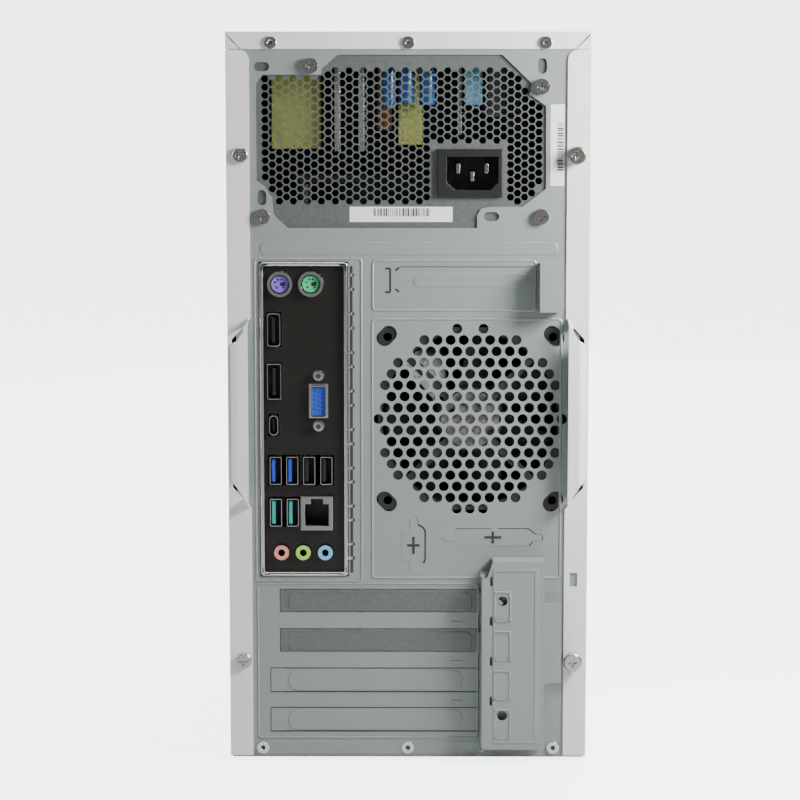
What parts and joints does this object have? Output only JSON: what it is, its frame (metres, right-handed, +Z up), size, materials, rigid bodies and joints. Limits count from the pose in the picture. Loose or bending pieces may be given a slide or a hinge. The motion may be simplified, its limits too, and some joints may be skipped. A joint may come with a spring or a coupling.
{
  "type": "desktop computer tower",
  "caption": "Small upright computer case with sliding side panels, a rear connector panel, fans, power supply, motherboard, drives and a plastic front.",
  "frame": {"origin": "on the surface the tower stands on, at the middle of its bounding box", "axes": "+Z is up; the plastic front faces -Y and the connector panel faces +Y; +X is to the right seen from the front"},
  "size_m": [0.18, 0.4, 0.367],
  "materials": {
    "panel_paint": "smooth satin off-white paint on sheet steel",
    "frame_steel": "pale grey-green coated sheet steel with faint rolling lines",
    "galvanised": "galvanised sheet steel with a fine spangle",
    "bright_steel": "bright stamped steel",
    "screw_steel": "nickel plated fasteners",
    "aluminium": "extruded aluminium",
    "brass": "turned brass",
    "black_plastic": "matt black moulded plastic",
    "white_plastic": "satin off-white moulded plastic",
    "grey_plastic": "grey moulded plastic",
    "rubber": "matt black rubber",
    "board_green": "green solder mask over glass fibre",
    "copper_parts": "wound parts under yellow tape",
    "can_parts": "sleeved capacitor cans",
    "light_pipe": "clear green light pipe",
    "cable_sleeve": "flexible lead sleeve"
  },
  "bodies": {
    "chassis": {"chassis_floor": "frame_steel", "rear_panel": "frame_steel", "motherboard_tray": "frame_steel", "chassis_front": "frame_steel", "drive_bay_cage": "frame_steel", "top_cover": "panel_paint", "slot_covers": "galvanised", "slot_screws": "screw_steel", "panel_rivets": "screw_steel", "feet": "rubber", "motherboard": "board_green", "board_standoffs": "brass", "io_shield": "bright_steel", "keyboard_mouse_ports": "black_plastic", "display_ports": "bright_steel", "vga_port": "bright_steel", "usb_ports": "bright_steel", "network_port": "grey_plastic", "audio_jacks": "black_plastic", "processor": "bright_steel", "processor_heatsink": "aluminium", "memory_sockets": "black_plastic", "memory_modules": "board_green", "expansion_sockets": "black_plastic", "chipset_heatsink": "aluminium", "board_capacitors": "can_parts", "board_connectors": "black_plastic", "psu_case": "galvanised", "psu_rear_plate": "galvanised", "power_inlet": "black_plastic", "inlet_pins": "brass", "psu_circuit_board": "board_green", "psu_transformers": "copper_parts", "psu_heatsinks": "aluminium", "psu_capacitors": "can_parts", "psu_screws": "screw_steel", "case_fan_frame": "black_plastic", "processor_fan_frame": "black_plastic", "psu_fan_frame": "black_plastic", "psu_fan_guard": "bright_steel", "optical_drive_case": "galvanised", "hard_drive": "aluminium", "hard_drive_cage": "galvanised", "main_power_cable": "cable_sleeve", "disk_data_cable": "cable_sleeve", "front_bezel": "white_plastic", "bay_cover": "white_plastic", "front_ports": "black_plastic", "status_lights": "light_pipe"},
    "left_panel": {"left_side_panel": "panel_paint", "left_panel_screws": "screw_steel"},
    "right_panel": {"right_side_panel": "panel_paint", "right_panel_screws": "screw_steel"},
    "card_cover_body": {"card_cover": "frame_steel"},
    "case_rotor": {"case_fan_rotor": "black_plastic"},
    "processor_rotor": {"processor_fan_rotor": "black_plastic"},
    "supply_rotor": {"psu_fan_rotor": "black_plastic"},
    "tray": {"disc_tray": "white_plastic"},
    "power_key": {"power_button": "white_plastic"},
    "eject_key": {"eject_button": "white_plastic"}
  },
  "joints": [
    {"name": "left_panel_slide", "type": "slide", "parent": "chassis", "child": "left_panel", "axis": [0, 1, 0], "range_m": [0, 0.42]},
    {"name": "right_panel_slide", "type": "slide", "parent": "chassis", "child": "right_panel", "axis": [0, 1, 0], "range_m": [0, 0.42]},
    {"name": "card_cover_hinge", "type": "hinge", "parent": "chassis", "child": "card_cover_body", "pos_m": [-0.0374, 0.199, 0.0532], "axis": [0, 0, -1], "range_deg": [0, 100]},
    {"name": "case_fan_spin", "type": "hinge", "parent": "chassis", "child": "case_rotor", "pos_m": [-0.031, 0.1737, 0.1752], "axis": [0, 1, 0], "continuous": true},
    {"name": "processor_fan_spin", "type": "hinge", "parent": "chassis", "child": "processor_rotor", "pos_m": [0.0244, 0.108, 0.192], "axis": [1, 0, 0], "continuous": true},
    {"name": "supply_fan_spin", "type": "hinge", "parent": "chassis", "child": "supply_rotor", "pos_m": [0.0032, 0.108, 0.2836], "axis": [0, 0, 1], "continuous": true},
    {"name": "disc_tray_slide", "type": "slide", "parent": "chassis", "child": "tray", "axis": [0, -1, 0], "range_m": [0, 0.14]},
    {"name": "power_button_press", "type": "slide", "parent": "chassis", "child": "power_key", "axis": [0, 1, 0], "range_m": [0, 0.002], "stiffness_N_per_m": 400, "springref_m": -0.002},
    {"name": "eject_button_press", "type": "slide", "parent": "chassis", "child": "eject_key", "axis": [0, 1, 0], "range_m": [0, 0.001], "stiffness_N_per_m": 300, "springref_m": -0.002}
  ]
}
